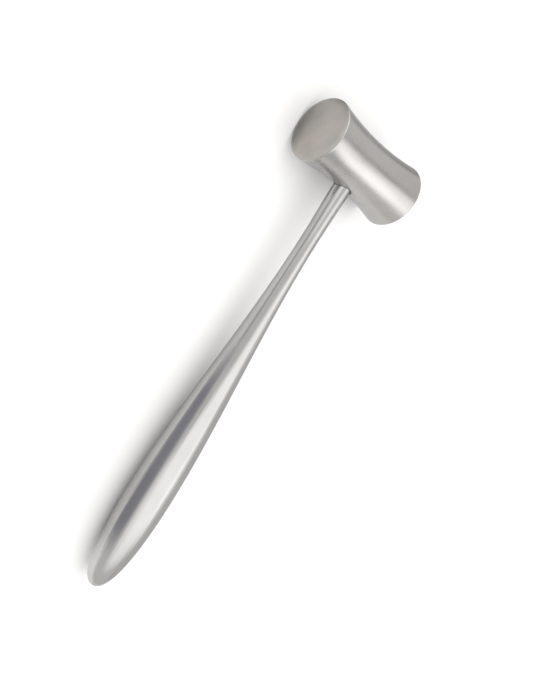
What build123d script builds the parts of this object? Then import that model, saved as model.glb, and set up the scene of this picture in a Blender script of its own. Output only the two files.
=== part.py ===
"""All-steel percussion mallet: a waisted billet head on a hollow teardrop handle.

The mallet lies on its side, as on a table. The head's axis is level and runs along Y, with the two
striking faces towards -Y and +Y. The handle runs towards +X and slopes down a little, so that its
grip touches the table too. The origin is on the table, under the middle of the mallet's box.

Sizes are in millimetres. "Reach" is a distance along the handle's axis, counted from the head's axis.
"""
import os
from math import asin, atan2, cos, hypot, sin

from build123d import *

# Head
head_length = 47.3
face_radius = 12.7
waist_radius = 10.85
land_radius = 10.3  # flat middle of each striking face
face_roll_off = 0.3  # how far the face falls away from its flat middle to its rim
rim_rounding = 0.4
seat_chamfer = 0.3  # broken edge around the neck, where it enters the waist

# Handle
handle_reach = 178.0  # head's axis to tail tip
neck_reach = 12.0  # where the shaped outline ends and the straight spigot starts
spigot_reach = 6.5  # end of the spigot, at the bottom of the head's seat
neck_radius = 3.5
wall = 1.3

# Control points of the handle's outline: distance from the tail tip, radius
outline_points = [
    (0, 0),
    (0, 10.2),
    (32.6, 8.3),
    (66.5, 13.45),
    (99.5, -0.7),
    (150, neck_radius),
    (handle_reach - neck_reach, neck_radius),
]

# Tang and its collar
rod_radius = 2.0
rivet_radius = 3.3  # widest part of the riveted end, at the waist's surface
rod_chamfer = 0.4
shoulder_reach = 76.0  # shoulder inside the handle that the collar bears on
collar_radius = 3.45
collar_length = 6.0
rod_overhang = 1.5  # rod that stands out of the collar


def along_handle(points, shift=0.0, inset=0.0):
    """Turn outline points into (reach, radius): the tail end moved in by shift, radii by inset."""
    placed = []
    for distance, radius in points:
        start = shift if distance == 0 else distance
        placed.append((handle_reach - start, radius - inset if radius else 0.0))
    return placed


def rest_tilt(outline):
    """Angle that the handle slopes down when the grip touches the table that the head lies on."""
    samples = [outline @ (step / 400) for step in range(201)]
    return min(asin(face_radius / hypot(p.X, p.Y)) - atan2(p.Y, p.X) for p in samples)


outer_points = along_handle(outline_points)
inner_points = along_handle(outline_points, shift=wall, inset=wall)
tilt = rest_tilt(Bezier(*outer_points))

# Frame: the box runs from the head's rim to the tail tip
head_x = (face_radius - handle_reach * cos(tilt)) / 2
head_centre = Vector(head_x, 0, face_radius)
handle_direction = Vector(cos(tilt), 0, -sin(tilt))
head_axis = Axis(head_centre, (0, 1, 0))
handle_axis = Axis(head_centre, handle_direction)

# On head_plane, x is the distance from the head's axis and y runs along that axis.
# On handle_plane, x is the reach and y the distance from the handle's axis.
head_plane = Plane(origin=head_centre, x_dir=(1, 0, 0), z_dir=(0, 0, 1))
handle_plane = Plane(origin=head_centre, x_dir=handle_direction, z_dir=(0, -1, 0))


def cross_plane(reach):
    """Plane square to the handle at a reach, facing the tail."""
    return Plane(origin=head_centre + handle_direction * reach, z_dir=handle_direction)


# Radii of the waist's arc and of the faces' roll-off, both running smoothly into the rim's rounding
rim_centre = Vector(face_radius - rim_rounding, head_length / 2 - face_roll_off - rim_rounding)
waist_depth = rim_centre.X - waist_radius
waist_curve = (waist_depth**2 + rim_centre.Y**2 - rim_rounding**2) / (2 * (face_radius - waist_radius))
roll_width = rim_centre.X - land_radius
roll_drop = head_length / 2 - rim_centre.Y
roll_curve = (roll_width**2 + roll_drop**2 - rim_rounding**2) / (2 * face_roll_off)
waist_centre = Vector(waist_radius + waist_curve, 0)
roll_centre = Vector(land_radius, head_length / 2 - roll_curve)
rim_start = rim_centre + (waist_centre - rim_centre).normalized() * rim_rounding
rim_end = rim_centre + (rim_centre - roll_centre).normalized() * rim_rounding

# Head before its holes are made
with BuildPart() as head_billet:
    with BuildSketch(head_plane):
        with BuildLine():
            waist = TangentArc((waist_radius, 0), rim_start, tangent=(0, 1))
            rim = TangentArc(waist @ 1, rim_end, tangent=waist % 1)
            roll_off = TangentArc(rim @ 1, (land_radius, head_length / 2), tangent=rim % 1)
            Line(roll_off @ 1, (0, head_length / 2))
            mirror(about=Plane.XZ)
            Line((0, -head_length / 2), (0, head_length / 2))
        make_face()
    revolve(axis=head_axis)

# Riveted end of the tang, still standing proud of the waist
rivet_flare = rivet_radius - rod_radius
rivet_proud = 1.0
with BuildPart() as rivet_cone:
    with BuildSketch(handle_plane):
        with BuildLine():
            Polyline(
                (-waist_radius + rivet_flare, 0),
                (-waist_radius + rivet_flare, rod_radius),
                (-waist_radius - rivet_proud, rivet_radius + rivet_proud),
                (-waist_radius - rivet_proud, 0),
                close=True,
            )
        make_face()
    revolve(axis=handle_axis)

# Striking head: seat for the neck, bore for the tang, countersink for its riveted end
with BuildPart() as striking_head:
    add(head_billet.part)
    with Locations(cross_plane(neck_reach)):
        CounterBoreHole(rod_radius, neck_radius, neck_reach - spigot_reach)
    add(rivet_cone.part, mode=Mode.SUBTRACT)
    curved_mouths = striking_head.edges().filter_by(GeomType.BSPLINE)
    seat_mouth = curved_mouths.filter_by_position(Axis.X, head_x, head_x + face_radius)
    chamfer(seat_mouth, seat_chamfer)
striking_head.part.label = "striking_head"

# Riveted end, ground flush with the waist
with BuildPart() as rivet_end:
    add(rivet_cone.part)
    add(head_billet.part, mode=Mode.INTERSECT)

# Tang rod, from the riveted end to just past the collar
rod_start = -waist_radius + rivet_flare
rod_end = shoulder_reach + collar_length + rod_overhang
with BuildPart() as tang_rod:
    with BuildSketch(cross_plane(rod_start)):
        Circle(rod_radius)
    extrude(amount=rod_end - rod_start)
    chamfer(tang_rod.edges().sort_by(handle_axis)[-1], rod_chamfer)
    add(rivet_end.part)
tang_rod.part.label = "tang_rod"

# Anchor collar, brazed to the rod, bearing on the shoulder inside the handle
with BuildPart() as anchor_collar:
    with BuildSketch(cross_plane(shoulder_reach)):
        Circle(collar_radius)
        Circle(rod_radius, mode=Mode.SUBTRACT)
    extrude(amount=collar_length)
anchor_collar.part.label = "anchor_collar"

# Hollow of the handle: parallel to its outline, and closed by the shoulder
with BuildSketch(handle_plane) as cavity_section:
    with BuildLine():
        inner_outline = Bezier(*inner_points)
        Polyline(inner_outline @ 1, (neck_reach, 0), (handle_reach - wall, 0))
    make_face()
    with Locations((shoulder_reach, 0)):
        Rectangle(handle_reach, handle_reach, align=(Align.MIN, Align.CENTER), mode=Mode.INTERSECT)

# Handle's wall: shaped outline, straight spigot and the tang's bore, less the hollow
with BuildSketch(handle_plane) as wall_section:
    with BuildLine():
        outline = Bezier(*outer_points)
        Polyline(
            outline @ 1,
            (spigot_reach, neck_radius),
            (spigot_reach, rod_radius),
            (shoulder_reach, rod_radius),
            (shoulder_reach, 0),
            (handle_reach, 0),
        )
    make_face()
    add(cavity_section.sketch_local, mode=Mode.SUBTRACT)

# Handle halves: the same section turned half way round, to each side
with BuildPart() as handle_half_front:
    add(wall_section.sketch)
    revolve(axis=handle_axis, revolution_arc=180)
handle_half_front.part.label = "handle_half_front"

with BuildPart() as handle_half_back:
    add(wall_section.sketch)
    revolve(axis=handle_axis, revolution_arc=-180)
handle_half_back.part.label = "handle_half_back"

os.makedirs("parts", exist_ok=True)
for piece in (striking_head, tang_rod, anchor_collar, handle_half_front, handle_half_back):
    export_step(piece.part, f"parts/{piece.part.label}.step")
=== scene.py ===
"""Looks of the all-steel mallet: a satin head, a fine-polished handle and a pale studio.

The mallet is built about its own head: u is the reach along the handle, v runs along the head's
axis and w is square to both. One matrix then lays it on the table as the frame has it.
"""
from bisect import bisect_left
from math import asin, atan2, cos, hypot, pi, radians, sin, sqrt

import bmesh
import bpy
from mathutils import Matrix, Vector


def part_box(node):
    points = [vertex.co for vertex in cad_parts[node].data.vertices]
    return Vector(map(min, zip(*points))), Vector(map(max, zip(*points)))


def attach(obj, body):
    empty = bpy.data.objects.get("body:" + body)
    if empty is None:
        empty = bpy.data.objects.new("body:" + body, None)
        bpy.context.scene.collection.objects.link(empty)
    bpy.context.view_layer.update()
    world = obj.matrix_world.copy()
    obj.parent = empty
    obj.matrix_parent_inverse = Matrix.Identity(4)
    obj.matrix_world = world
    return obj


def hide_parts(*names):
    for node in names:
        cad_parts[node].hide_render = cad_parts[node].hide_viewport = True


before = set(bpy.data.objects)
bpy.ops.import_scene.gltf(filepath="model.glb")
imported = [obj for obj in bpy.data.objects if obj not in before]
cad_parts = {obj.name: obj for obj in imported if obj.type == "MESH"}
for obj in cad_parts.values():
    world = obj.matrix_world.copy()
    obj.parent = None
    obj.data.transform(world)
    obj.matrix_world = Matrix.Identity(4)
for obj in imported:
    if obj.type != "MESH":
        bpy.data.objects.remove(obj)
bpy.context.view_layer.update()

MM = 0.001

# Head, as in the frame
head_low, head_high = (Vector(corner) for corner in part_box("striking_head"))
head_centre = (head_low + head_high) / 2
head_length = head_high.y - head_low.y
face_radius = (head_high.z - head_low.z) / 2
waist_radius = 10.85 * MM
land_radius = 10.3 * MM
face_roll_off = 0.3 * MM
rim_rounding = 0.4 * MM

# Handle
handle_reach = 178.0 * MM
neck_reach = 12.0 * MM
spigot_reach = 6.5 * MM
neck_radius = 3.5 * MM
wall = 1.3 * MM
outline_points = [  # distance from the tail tip, radius
    (0, 0),
    (0, 10.2 * MM),
    (32.6 * MM, 8.3 * MM),
    (66.5 * MM, 13.45 * MM),
    (99.5 * MM, -0.7 * MM),
    (150 * MM, neck_radius),
    (handle_reach - neck_reach, neck_radius),
]

# Tang and its collar
rod_radius = 2.0 * MM
rivet_radius = 3.3 * MM
rod_chamfer = 0.4 * MM
shoulder_reach = 76.0 * MM
collar_radius = 3.45 * MM
collar_length = 6.0 * MM
rod_overhang = 1.5 * MM

# Broken edges of the seat's mouth and of the rivet's countersink, and a painted shade around the mouth
seat_edge = 0.3 * MM
rivet_edge = 0.06 * MM
painted_shade_radius = 4.6 * MM
painted_shade_strength = 0.75
painted_shade_colour = (0.08, 0.078, 0.078)

# How finely the surfaces are divided
HEAD_COLUMNS = 240
WAIST_ROWS = 164
PATCH = 20  # half the width, in columns and in rows, of the patch around each of the head's holes
PATCH_RINGS = 7
HALF_COLUMNS = 96
OUTLINE_STEPS = 240
SHARP = radians(28)


def along_handle(points, shift=0.0, inset=0.0):
    """Turn outline points into (reach, radius): the tail end moved in by shift, radii by inset."""
    placed = []
    for distance, radius in points:
        start = shift if distance == 0 else distance
        placed.append(Vector((handle_reach - start, radius - inset if radius else 0.0)))
    return placed


def bezier(points, t):
    """Point of a Bezier curve of any degree."""
    while len(points) > 1:
        points = [a.lerp(b, t) for a, b in zip(points, points[1:])]
    return points[0]


def outline(points):
    """The curve from the tail tip to the neck, with closer steps at the tip."""
    return [bezier(points, (step / OUTLINE_STEPS) ** 1.2) for step in range(OUTLINE_STEPS + 1)]


def rest_tilt(samples):
    """Angle that the handle slopes down when the grip touches the table that the head lies on."""
    grip = [p for p in samples if p.x > handle_reach / 2]
    return min(asin(face_radius / hypot(*p)) - atan2(p.y, p.x) for p in grip)


outer_outline = outline(along_handle(outline_points))
inner_outline = outline(along_handle(outline_points, shift=wall, inset=wall))
outer_samples = list(reversed(outer_outline))
outer_reaches = [point.x for point in outer_samples]
tilt = rest_tilt(outer_outline)
to_frame = Matrix.Translation(head_centre) @ Matrix.Rotation(tilt, 4, "Y")


# Mesh tools

def new_ring(bm, points):
    return [bm.verts.new(point) for point in points]


def skin(bm, rings, closed=True):
    """Cover the space between each ring of vertices and the next. A ring of one vertex is a pole."""
    for near, far in zip(rings, rings[1:]):
        count = max(len(near), len(far))
        for i in range(count if closed else count - 1):
            j = (i + 1) % count
            corners = [ring[k % len(ring)] for ring, k in ((near, i), (near, j), (far, j), (far, i))]
            bm.faces.new(dict.fromkeys(corners))


def add_piece(name, bm, materials, nodes, facing=None):
    """Make a closed mesh into a piece of the mallet that stands for its CAD nodes.

    facing gives the exact normal of a face's corner, or None to leave it to the mesh.
    """
    bmesh.ops.recalc_face_normals(bm, faces=bm.faces)
    for face in bm.faces:
        face.smooth = True
    for edge in bm.edges:
        edge.smooth = edge.calc_face_angle(0) < SHARP
    mesh = bpy.data.meshes.new(name)
    bm.to_mesh(mesh)
    bm.free()
    normals = []
    if facing:
        for face in mesh.polygons:
            corners = [mesh.vertices[i].co for i in face.vertices]
            normals += [facing(corners, corner) or (0, 0, 0) for corner in corners]
    mesh.transform(to_frame)
    if facing:
        mesh.normals_split_custom_set([to_frame.to_3x3() @ Vector(normal) for normal in normals])
    for material in materials:
        mesh.materials.append(material)
    piece = bpy.data.objects.new(name, mesh)
    bpy.context.scene.collection.objects.link(piece)
    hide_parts(*nodes)
    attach(piece, "root")
    return piece


# Head

rim_centre = Vector((face_radius - rim_rounding, head_length / 2 - face_roll_off - rim_rounding))
waist_depth = rim_centre.x - waist_radius
waist_curve = (waist_depth**2 + rim_centre.y**2 - rim_rounding**2) / (2 * (face_radius - waist_radius))
roll_width = rim_centre.x - land_radius
roll_drop = head_length / 2 - rim_centre.y
roll_curve = (roll_width**2 + roll_drop**2 - rim_rounding**2) / (2 * face_roll_off)


def waist_at(v):
    """Radius of the head's waist at a distance along the head's axis."""
    return waist_radius + waist_curve - sqrt(waist_curve**2 - v**2)


def waist_surface(v, w, side):
    """Point of the waist over (v, w), on the handle's side (1) or the far side (-1)."""
    return Vector((side * sqrt(waist_at(v) ** 2 - w**2), v, w))


def arc(centre, radius, start, end, steps):
    """Points of an arc, by angle from the radius axis towards the face, without its first one."""
    angles = [start + (end - start) * (i + 1) / steps for i in range(steps)]
    return [(centre[0] + radius * cos(a), centre[1] + radius * sin(a)) for a in angles]


def end_profile():
    """(radius, distance from the middle) from the waist's end over the rim to the face's middle."""
    rim_low = -asin(rim_centre.y / (waist_curve + rim_rounding))
    roll_start = pi / 2 - asin(roll_width / (roll_curve - rim_rounding))
    rim = arc(rim_centre, rim_rounding, rim_low, roll_start, 8)
    roll = arc((land_radius, head_length / 2 - roll_curve), roll_curve, roll_start, pi / 2, 10)
    land = [(land_radius * (1 - i / 10), head_length / 2) for i in range(1, 11)]
    return rim + roll + land


def lathe_ring(bm, radius, v):
    if radius < 1e-9:
        return new_ring(bm, [(0, v, 0)])
    turns = [2 * pi * i / HEAD_COLUMNS for i in range(HEAD_COLUMNS)]
    return new_ring(bm, [(radius * cos(a), v, radius * sin(a)) for a in turns])


def patch_border(rows, side):
    """The grid's vertices around a hole, in order, mirrored from one side of the head to the other."""
    middle = WAIST_ROWS // 2
    walk = [(-PATCH, i) for i in range(-PATCH, PATCH)]
    walk += [(i, PATCH) for i in range(-PATCH, PATCH)]
    walk += [(PATCH, -i) for i in range(-PATCH, PATCH)]
    walk += [(-i, -PATCH) for i in range(-PATCH, PATCH)]
    if side > 0:
        return [rows[middle + row][column % HEAD_COLUMNS] for row, column in walk]
    return [rows[middle + row][HEAD_COLUMNS // 2 - column] for row, column in walk]


def patch_rings(bm, border, hole_radius, side):
    """Rings that run from the border of a patch to a round hole, all on the waist's surface."""
    rings = [border]
    for ring in range(1, PATCH_RINGS + 1):
        share = (1 - ring / PATCH_RINGS) ** 1.5
        points = []
        for vertex in border:
            edge = Vector((vertex.co.y, vertex.co.z))
            v, w = (edge.normalized() * hole_radius).lerp(edge, share)
            points.append(waist_surface(v, w, side))
        rings.append(new_ring(bm, points))
    return rings


def hole_ring(bm, border, radius, reach=None, side=1, sink=0.0):
    """Ring of a hole, square to the handle at a reach, or sunk by an amount below the waist."""
    points = []
    for vertex in border:
        v, w = Vector((vertex.co.y, vertex.co.z)).normalized() * radius
        on_waist = waist_surface(v, w, side)
        points.append((on_waist.x - side * sink if reach is None else reach, v, w))
    return new_ring(bm, points)


def broken_edge(bm, border, radius, size, side):
    """Quarter-round rings from the waist into a hole."""
    turns = [pi / 2 * i / 4 for i in range(1, 5)]
    return [
        hole_ring(bm, border, radius + size * (1 - sin(a)), side=side, sink=size * (1 - cos(a)))
        for a in turns
    ]


def add_head(side_steel, face_steel, seat_painted_shade_steel):
    """Turned billet with the seat for the neck, the tang's bore and the rivet's countersink."""
    bm = bmesh.new()
    half = rim_centre.y * waist_curve / (waist_curve + rim_rounding)
    spots = [half * (2 * i / WAIST_ROWS - 1) for i in range(WAIST_ROWS + 1)]
    rows = [lathe_ring(bm, waist_at(v), v) for v in spots]
    middle = WAIST_ROWS // 2
    for i in range(WAIST_ROWS):
        for j in range(HEAD_COLUMNS):
            by_seat = min(j, HEAD_COLUMNS - 1 - j) < PATCH
            by_rivet = abs(2 * j + 1 - HEAD_COLUMNS) < 2 * PATCH
            if (by_seat or by_rivet) and abs(2 * (i - middle) + 1) < 2 * PATCH:
                continue
            k = (j + 1) % HEAD_COLUMNS
            bm.faces.new((rows[i][j], rows[i][k], rows[i + 1][k], rows[i + 1][j]))

    # Both ends, rim to middle; the face's steel starts where the rim's rounding ends
    for end, first in ((1, rows[-1]), (-1, rows[0])):
        rings = [first] + [lathe_ring(bm, radius, end * v) for radius, v in end_profile()]
        skin(bm, rings)
    for face in bm.faces:
        if abs(face.calc_center_median().y) > head_length / 2 - face_roll_off:
            face.material_index = 1

    # From the seat's mouth through the tang's bore to the countersink
    mouth = patch_border(rows, 1)
    far_mouth = patch_border(rows, -1)
    rings = patch_rings(bm, mouth, neck_radius + seat_edge, 1)
    rings += broken_edge(bm, mouth, neck_radius, seat_edge, 1)
    cone_start = -waist_radius + rivet_radius - rod_radius
    rings.append(hole_ring(bm, mouth, neck_radius, reach=spigot_reach))
    rings.append(hole_ring(bm, mouth, rod_radius, reach=spigot_reach))
    rings.append(hole_ring(bm, mouth, rod_radius, reach=cone_start))
    rings += reversed(broken_edge(bm, far_mouth, rivet_radius, rivet_edge, -1))
    rings += reversed(patch_rings(bm, far_mouth, rivet_radius + rivet_edge, -1))
    skin(bm, rings)
    # The seat's mouth and the bore get near-black steel: painted shade of the narrow groove around the
    # neck
    for face in bm.faces:
        centre = face.calc_center_median()
        if centre.x > 0 and centre.yz.length < neck_radius + seat_edge:
            face.material_index = 2
    under_patches = [vertex for vertex in bm.verts if not vertex.link_faces]
    bmesh.ops.delete(bm, geom=under_patches, context="VERTS")
    materials = [side_steel, face_steel, seat_painted_shade_steel]
    return add_piece("striking_head_turned", bm, materials, ["striking_head"])


# Handle

def outside_radius(reach):
    """Radius of the handle's outer surface at a reach."""
    index = bisect_left(outer_reaches, reach)
    if index == 0 or index == len(outer_reaches):
        return neck_radius if index == 0 else 0.0
    low, high = outer_samples[index - 1], outer_samples[index]
    return low.y + (high.y - low.y) * (reach - low.x) / (high.x - low.x)


def outside_gap(point):
    """How far a point lies outside the handle's outer surface."""
    return hypot(point.y, point.z) - outside_radius(point.x)


def half_ring(bm, reach, radius, side):
    if radius < 1e-9:
        return new_ring(bm, [(reach, 0, 0)])
    turns = [pi * i / HALF_COLUMNS for i in range(HALF_COLUMNS + 1)]
    return new_ring(bm, [(reach, side * radius * sin(a), radius * cos(a)) for a in turns])


def outside_normal(corners, corner):
    """Normal of the handle's outer surface, the same on both halves so that the seam is flush."""
    if min(outside_gap(point) for point in corners) < -1e-7:
        return None
    step = 0.05 * MM
    slope = (outside_radius(corner.x + step) - outside_radius(corner.x - step)) / (2 * step)
    if corner.x > handle_reach - 3 * step:
        return None
    return Vector((-slope, *corner.yz.normalized()))


def add_handle_half(name, side, steel):
    """One shell: outside from the tail to the spigot, back through the tang's bore and the hollow."""
    hollow = [p for p in inner_outline if p.x > shoulder_reach]
    bore = [p.x for p in reversed(outer_outline) if p.x < shoulder_reach]
    profile = [(p.x, p.y) for p in outer_outline]
    profile += [(spigot_reach, neck_radius), (spigot_reach, rod_radius)]
    profile += [(reach, rod_radius) for reach in bore]
    profile += [(shoulder_reach, rod_radius), (shoulder_reach, hollow[-1].y)]
    profile += [(p.x, p.y) for p in reversed(hollow)]
    bm = bmesh.new()
    skin(bm, [half_ring(bm, reach, radius, side) for reach, radius in profile], closed=False)
    seam = [edge for edge in bm.edges if edge.is_boundary]
    bmesh.ops.triangle_fill(bm, use_beauty=True, use_dissolve=False, edges=seam)
    return add_piece(f"{name}_shell", bm, [steel], [name], facing=outside_normal)


# Tang and collar

def round_ring(bm, reach, radius, columns=96):
    if radius < 1e-9:
        return new_ring(bm, [(reach, 0, 0)])
    turns = [2 * pi * i / columns for i in range(columns)]
    return new_ring(bm, [(reach, radius * cos(a), radius * sin(a)) for a in turns])


def add_tang(steel):
    """Rod with its end riveted into the countersink and ground to the waist's own surface."""
    bm = bmesh.new()
    rings = [new_ring(bm, [waist_surface(0, 0, -1)])]
    for radius in [rivet_radius * i / 12 for i in range(1, 12)] + [rivet_radius - rivet_edge]:
        ring = round_ring(bm, 0, radius)
        for vertex in ring:
            vertex.co = waist_surface(vertex.co.y, vertex.co.z, -1)
        rings.append(ring)
    rim = round_ring(bm, 0, rivet_radius)
    for vertex in rim:
        vertex.co = waist_surface(vertex.co.y, vertex.co.z, -1)
        vertex.co.x += rivet_edge
    rings.append(rim)
    rod_start = -waist_radius + rivet_radius - rod_radius
    rod_end = shoulder_reach + collar_length + rod_overhang
    rings.append(round_ring(bm, rod_start, rod_radius))
    rings.append(round_ring(bm, rod_end - rod_chamfer, rod_radius))
    rings.append(round_ring(bm, rod_end, rod_radius - rod_chamfer))
    rings.append(round_ring(bm, rod_end, 0))
    skin(bm, rings)
    return add_piece("tang_rod_riveted", bm, [steel], ["tang_rod"])


def add_collar(steel):
    """Ring on the rod's inner end, its outer edges broken."""
    edge = 0.2 * MM
    end = shoulder_reach + collar_length
    profile = [
        (shoulder_reach, rod_radius),
        (shoulder_reach, collar_radius - edge),
        (shoulder_reach + edge, collar_radius),
        (end - edge, collar_radius),
        (end, collar_radius - edge),
        (end, rod_radius),
    ]
    bm = bmesh.new()
    rings = [round_ring(bm, reach, radius) for reach, radius in profile]
    skin(bm, rings + rings[:1])
    return add_piece("anchor_collar_ring", bm, [steel], ["anchor_collar"])


# Steel

def new_material(name):
    material = bpy.data.materials.new(name)
    material.use_nodes = True
    nodes = material.node_tree.nodes
    return material, nodes, material.node_tree.links, nodes["Principled BSDF"]


def product(nodes, links, values):
    result = values[0]
    for value in values[1:]:
        times = nodes.new("ShaderNodeMath")
        times.operation = "MULTIPLY"
        links.new(result, times.inputs[0])
        links.new(value, times.inputs[1])
        result = times.outputs[0]
    return result


def vector_step(nodes, links, operation, value, *others):
    step = nodes.new("ShaderNodeVectorMath")
    step.operation = operation
    links.new(value, step.inputs[0])
    for slot, other in enumerate(others, 1):
        if isinstance(other, bpy.types.NodeSocket):
            links.new(other, step.inputs[slot])
        else:
            step.inputs[slot].default_value = other
    return step.outputs[0]


def length_of(nodes, links, vector):
    measure = nodes.new("ShaderNodeVectorMath")
    measure.operation = "LENGTH"
    links.new(vector, measure.inputs[0])
    return measure.outputs["Value"]


def noise_at(nodes, links, place, detail, roughness):
    noise = nodes.new("ShaderNodeTexNoise")
    noise.inputs["Scale"].default_value = 1.0
    noise.inputs["Detail"].default_value = detail
    noise.inputs["Roughness"].default_value = roughness
    links.new(place, noise.inputs["Vector"])
    return noise.outputs["Fac"]


def scaled_noise(nodes, links, scale, detail=3.0, roughness=0.55):
    """Noise over the object's own coordinates, with a scale per metre along each axis."""
    place = nodes.new("ShaderNodeTexCoord").outputs["Object"]
    return noise_at(nodes, links, vector_step(nodes, links, "MULTIPLY", place, scale), detail, roughness)


def place_on_handle(nodes, links):
    """Where a point lies along the handle, and where it lies across it."""
    level = nodes.new("ShaderNodeMapping")
    level.vector_type = "TEXTURE"
    level.inputs["Location"].default_value = head_centre
    level.inputs["Rotation"].default_value = (0, tilt, 0)
    links.new(nodes.new("ShaderNodeTexCoord").outputs["Object"], level.inputs["Vector"])
    along = vector_step(nodes, links, "MULTIPLY", level.outputs["Vector"], (1, 0, 0))
    across = vector_step(nodes, links, "MULTIPLY", level.outputs["Vector"], (0, 1, 1))
    return along, across


def handle_lines(nodes, links, along_scale, around_scale, detail=3.0, roughness=0.55):
    """Lines that run along the handle and close up at its tail tip, and their height, which grows
    with the handle's radius.
    """
    along, across = place_on_handle(nodes, links)
    along = vector_step(nodes, links, "MULTIPLY", along, (along_scale, 0, 0))
    around = vector_step(nodes, links, "NORMALIZE", across)
    around = vector_step(nodes, links, "MULTIPLY", around, (0, around_scale, around_scale))
    lines = noise_at(nodes, links, vector_step(nodes, links, "ADD", along, around), detail, roughness)
    return lines, product(nodes, links, [lines, length_of(nodes, links, across)])


def ranged(nodes, links, value, low, high, start=0.3, end=0.7):
    spread = nodes.new("ShaderNodeMapRange")
    spread.inputs["From Min"].default_value = start
    spread.inputs["From Max"].default_value = end
    spread.inputs["To Min"].default_value = low
    spread.inputs["To Max"].default_value = high
    links.new(value, spread.inputs["Value"])
    return spread.outputs["Result"]


def mixed(nodes, links, share, start, end):
    """Go from one colour to another by a share. Each is a constant or another node's output."""
    mix = nodes.new("ShaderNodeMix")
    mix.data_type = "RGBA"
    for end_name, colour in (("A", start), ("B", end)):
        if isinstance(colour, bpy.types.NodeSocket):
            links.new(colour, mix.inputs[end_name])
        else:
            mix.inputs[end_name].default_value = (*colour, 1)
    links.new(share, mix.inputs["Factor"])
    return mix.outputs["Result"]


def bumped(nodes, links, height, distance, strength=1.0, base=None):
    bump = nodes.new("ShaderNodeBump")
    bump.inputs["Distance"].default_value = distance
    bump.inputs["Strength"].default_value = strength
    links.new(height, bump.inputs["Height"])
    if base is not None:
        links.new(base, bump.inputs["Normal"])
    return bump.outputs["Normal"]


def steel(
    name, dark, light, rough, waviness, grain_depth,
    grain=None, lines=False, mottle=(70, 70, 70), edge_tint=1.0,
):
    """Steel with fine grain, faint waves left by polishing and slight smudges.

    grain is the scale of the grain along each axis, per metre. lines makes it run along the handle,
    and waviness and grain_depth are then shares of the handle's radius. edge_tint dims what the
    steel reflects at a grazing angle.
    """
    material, nodes, links, shader = new_material(name)
    shader.inputs["Metallic"].default_value = 1.0
    shader.inputs["Specular Tint"].default_value = (edge_tint, edge_tint, edge_tint, 1)
    cloud = scaled_noise(nodes, links, mottle)
    if lines:
        fine, grain_height = handle_lines(nodes, links, 40, 110, detail=4.0, roughness=0.65)
        broad = handle_lines(nodes, links, 9, 6)[1]
    else:
        fine = grain_height = scaled_noise(nodes, links, grain, detail=4.0, roughness=0.65)
        broad = scaled_noise(nodes, links, (45, 60, 60), detail=1.0)
    colour = mixed(nodes, links, ranged(nodes, links, cloud, 0, 1), dark, light)
    links.new(colour, shader.inputs["Base Color"])
    smudge = nodes.new("ShaderNodeMath")
    smudge.operation = "ADD"
    links.new(ranged(nodes, links, cloud, rough[0], rough[1]), smudge.inputs[0])
    links.new(ranged(nodes, links, fine, -0.03, 0.03), smudge.inputs[1])
    links.new(smudge.outputs[0], shader.inputs["Roughness"])
    waves = bumped(nodes, links, broad, waviness)
    links.new(bumped(nodes, links, grain_height, grain_depth, base=waves), shader.inputs["Normal"])
    return material, nodes, links, shader


def paint_shade_by_neck(nodes, links, shader):
    """Darken the head close around the neck: painted shade of the crease where the neck enters the head.
    """
    along, across = place_on_handle(nodes, links)
    reach = nodes.new("ShaderNodeSeparateXYZ")
    links.new(along, reach.inputs[0])
    on_neck_side = ranged(nodes, links, reach.outputs["X"], 0, 1, 0, neck_radius)
    from_axis = length_of(nodes, links, across)
    near_neck = ranged(nodes, links, from_axis, painted_shade_strength, 0, neck_radius + seat_edge, painted_shade_radius)
    share = product(nodes, links, [near_neck, on_neck_side])
    clean = shader.inputs["Base Color"].links[0].from_socket
    links.new(mixed(nodes, links, share, clean, painted_shade_colour), shader.inputs["Base Color"])


side_steel, nodes, links, shader = steel(
    "satin_turned_steel", dark=(0.40, 0.39, 0.375), light=(0.44, 0.43, 0.415), rough=(0.24, 0.3),
    waviness=0.02 * MM, grain_depth=0.0005 * MM, grain=(250, 9000, 250),
)
shader.inputs["Anisotropic"].default_value = 0.5
# Painted shade around the neck's joint, darkening the head's waist near the seat
paint_shade_by_neck(nodes, links, shader)
tangent = nodes.new("ShaderNodeTangent")
tangent.direction_type = "RADIAL"
tangent.axis = "Y"
links.new(tangent.outputs["Tangent"], shader.inputs["Tangent"])

face_steel = steel(
    "matt_face_steel", dark=(0.385, 0.372, 0.352), light=(0.475, 0.436, 0.41), rough=(0.4, 0.47),
    waviness=0.02 * MM, grain_depth=0.001 * MM, grain=(3500, 3500, 3500), mottle=(150, 150, 150),
)[0]
# Near-black steel for the seat's mouth and bore: painted shade of the groove where the neck enters the
# head
seat_painted_shade_steel = steel(
    "seat_painted_shade", dark=(0.07, 0.065, 0.06), light=(0.13, 0.12, 0.11), rough=(0.45, 0.6),
    waviness=0.02 * MM, grain_depth=0.002 * MM, grain=(4000, 4000, 4000), mottle=(400, 400, 400),
)[0]
handle_steel = steel(
    "fine_polished_steel", dark=(0.40, 0.395, 0.385), light=(0.44, 0.435, 0.425), rough=(0.12, 0.165),
    waviness=0.012, grain_depth=0.00015, lines=True, edge_tint=0.78,
)[0]
tang_steel = steel(
    "ground_tang_steel", dark=(0.4, 0.395, 0.385), light=(0.47, 0.46, 0.45), rough=(0.3, 0.38),
    waviness=0.01 * MM, grain_depth=0.0008 * MM, grain=(4000, 4000, 4000),
)[0]

add_head(side_steel, face_steel, seat_painted_shade_steel)
add_handle_half("handle_half_front", -1, handle_steel)
add_handle_half("handle_half_back", 1, handle_steel)
add_tang(tang_steel)
add_collar(tang_steel)


# Studio

square_corners = [(-1, -1), (1, -1), (1, 1), (-1, 1)]


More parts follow.
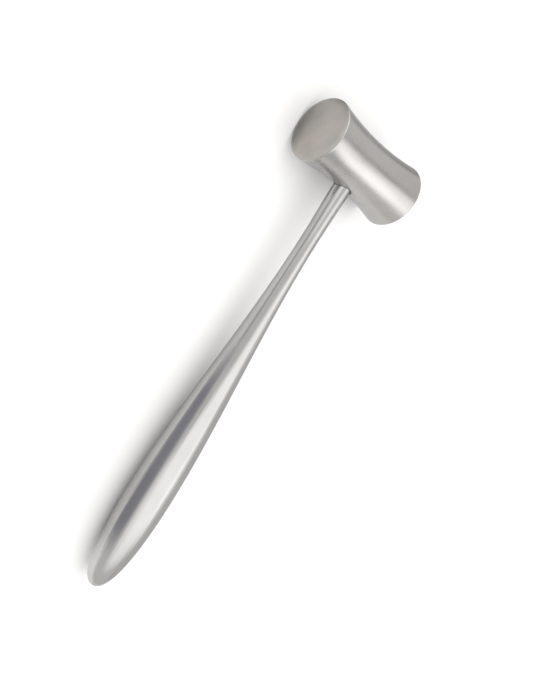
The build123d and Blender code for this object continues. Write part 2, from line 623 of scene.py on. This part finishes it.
def add_stage_plane(name, corners, material):
    """A plane of four corners, with its own square of UV coordinates."""
    mesh = bpy.data.meshes.new(name)
    mesh.from_pydata(corners, [], [(0, 1, 2, 3)])
    square = mesh.uv_layers.new(name="square").data
    for loop, (i, j) in zip(square, square_corners):
        loop.uv = ((1 + i) / 2, (1 + j) / 2)
    mesh.materials.append(material)
    plane = bpy.data.objects.new(name, mesh)
    bpy.context.scene.collection.objects.link(plane)
    return plane


def share_ramp(nodes, links, value, start, end):
    """Rise smoothly from 0 to 1 as a value goes from start to end."""
    ramp = nodes.new("ShaderNodeMapRange")
    ramp.interpolation_type = "SMOOTHSTEP"
    ramp.inputs["From Min"].default_value = start
    ramp.inputs["From Max"].default_value = end
    links.new(value, ramp.inputs["Value"])
    return ramp.outputs["Result"]


def add_card(name, corners, radiance, soft, tint=(1, 1, 1)):
    """A studio card that only the steel sees. soft gives the share that it fades over at each edge."""
    material = bpy.data.materials.new(name)
    material.use_nodes = True
    nodes, links = material.node_tree.nodes, material.node_tree.links
    nodes.clear()
    place = nodes.new("ShaderNodeUVMap")
    sides = nodes.new("ShaderNodeSeparateXYZ")
    links.new(place.outputs["UV"], sides.inputs[0])
    edges = [
        share_ramp(nodes, links, sides.outputs["X"], 0, soft[0]),
        share_ramp(nodes, links, sides.outputs["X"], 1, 1 - soft[1]),
        share_ramp(nodes, links, sides.outputs["Y"], 0, soft[2]),
        share_ramp(nodes, links, sides.outputs["Y"], 1, 1 - soft[3]),
    ]
    clear = nodes.new("ShaderNodeBsdfTransparent")
    glow = nodes.new("ShaderNodeEmission")
    glow.inputs["Color"].default_value = (*tint, 1)
    glow.inputs["Strength"].default_value = radiance
    mix = nodes.new("ShaderNodeMixShader")
    links.new(product(nodes, links, edges), mix.inputs[0])
    links.new(clear.outputs[0], mix.inputs[1])
    links.new(glow.outputs[0], mix.inputs[2])
    output = nodes.new("ShaderNodeOutputMaterial")
    links.new(mix.outputs[0], output.inputs["Surface"])

    card = add_stage_plane(name, [Vector(corner) * MM for corner in corners], material)
    card.visible_camera = False
    card.visible_diffuse = False
    card.visible_shadow = False
    return card


def level_card(name, centre, size, height, turn=0, radiance=1.0, soft=(0.3, 0.3, 0.3, 0.3)):
    """A level card: its centre and size in x and y, its height and its turn in degrees."""
    turned = Matrix.Rotation(radians(turn), 2)
    half = Vector(size) / 2
    spots = [Vector(centre) + turned @ Vector((i * half.x, j * half.y)) for i, j in square_corners]
    add_card(name, [(*spot, height) for spot in spots], radiance, soft)


def upright_card(name, y, x_reach, z_reach, radiance=1.0, soft=(0.3, 0.3, 0.3, 0.3), tint=(1, 1, 1)):
    """A card that stands along x at a y, with its reach in x and in z."""
    corners = [(x_reach[i > 0], y, z_reach[j > 0]) for i, j in square_corners]
    add_card(name, corners, radiance, soft, tint)


# Table
white_table, _, _, shader = new_material("white_table")
shader.inputs["Base Color"].default_value = (0.82, 0.82, 0.82, 1)
shader.inputs["Roughness"].default_value = 0.9
floor_half = 3.0
add_stage_plane("floor", [(i * floor_half, j * floor_half, 0) for i, j in square_corners], white_table)

# Cards overhead, in millimetres and degrees; those that overlap hang a little apart
level_card(
    "bright_strip", (125, 380), (285, 435), 400, turn=-46,
    radiance=2.6, soft=(0.15, 0.25, 0.25, 0.05),
)
level_card(
    "far_bright_card", (60, 600), (710, 225), 402, turn=16,
    radiance=2.6, soft=(0.35, 0.05, 0.1, 0.05),
)
level_card(
    "wide_bright_card", (200, -55), (600, 1065), 404, turn=19,
    radiance=1.95, soft=(0.15, 0.5, 0.5, 0.1),
)
level_card(
    "gap_card", (-255, 430), (130, 500), 398, turn=8,
    radiance=0.1, soft=(0.35, 0.35, 0.35, 0.35),
)
level_card("neck_card", (-77, -60), (60, 100), 70, radiance=1.5)

# Cards on the table, which shade or lighten what the steel sees of it
level_card(
    "head_shade_card", (-170, 70), (300, 300), 0.5, turn=-20,
    radiance=0.47, soft=(0.4, 0.4, 0.4, 0.4),
)
level_card("face_shade_card", (-83, -27.6), (28, 7.5), 0.4, radiance=0.3, soft=(0.3, 0.3, 0.8, 0.05))
level_card("corner_shade_card", (-118, -45), (50, 50), 0.4, radiance=0.1, soft=(0.4, 0.4, 0.4, 0.1))
level_card("neck_table_card", (-69, -21), (24, 18), 0.3, radiance=1.4)
level_card("tail_table_card", (110, -10), (70, 70), 0.3, radiance=1.5)

# Upright cards
upright_card("far_dark_card", 700, (-470, 775), (90, 560), radiance=0.64)
upright_card(
    "near_dark_flag", -24, (-16, 95), (-2, 29),
    radiance=0.45, soft=(0.3, 0.2, 0.25, 0.4), tint=(0.95, 0.96, 1.08),
)
upright_card("near_pale_card", 22, (-58, 105), (-3, 55), radiance=0.88, soft=(0.45, 0.05, 0.2, 0.5))
upright_card("neck_dark_flag", -40, (-75, -5), (8, 28), radiance=0.7, soft=(0.1, 0.2, 0.35, 0.35))
upright_card("rim_card", -300, (-600, -130), (0, 330), radiance=3.5, soft=(0.3, 0.3, 0.2, 0.2))

# Soft daylight from above for the table; the steel sees the cards instead
lamp = bpy.data.lights.new("table_light", "SUN")
lamp.energy = 1.4
lamp.angle = radians(96)
table_light = bpy.data.objects.new("table_light", lamp)
table_light.visible_glossy = False
table_light.visible_camera = False
bpy.context.scene.collection.objects.link(table_light)

world = bpy.data.worlds.new("studio")
world.use_nodes = True
world.node_tree.nodes["Background"].inputs["Color"].default_value = (1.0, 0.99, 0.975, 1)
world.node_tree.nodes["Background"].inputs["Strength"].default_value = 0.97
bpy.context.scene.world = world
bpy.context.scene.view_settings.view_transform = "Standard"

# Camera

aim = to_frame @ Vector((71.3 * MM, 0, 13.9 * MM))
camera_distance = 424.3 * MM
azimuth = radians(4.74)
elevation = radians(46.61)
roll = radians(117.51)

lens = bpy.data.cameras.new("camera")
lens.lens = 63.4
lens.sensor_width = 36
lens.clip_start = 0.01
lens.clip_end = 10
camera = bpy.data.objects.new("camera", lens)
away = Vector((sin(azimuth) * cos(elevation), -cos(azimuth) * cos(elevation), sin(elevation)))
camera.location = aim + away * camera_distance
level = (-away).to_track_quat("-Z", "Y")
camera.rotation_euler = (level.to_matrix() @ Matrix.Rotation(roll, 3, "Z")).to_euler()
bpy.context.scene.collection.objects.link(camera)
bpy.context.scene.camera = camera
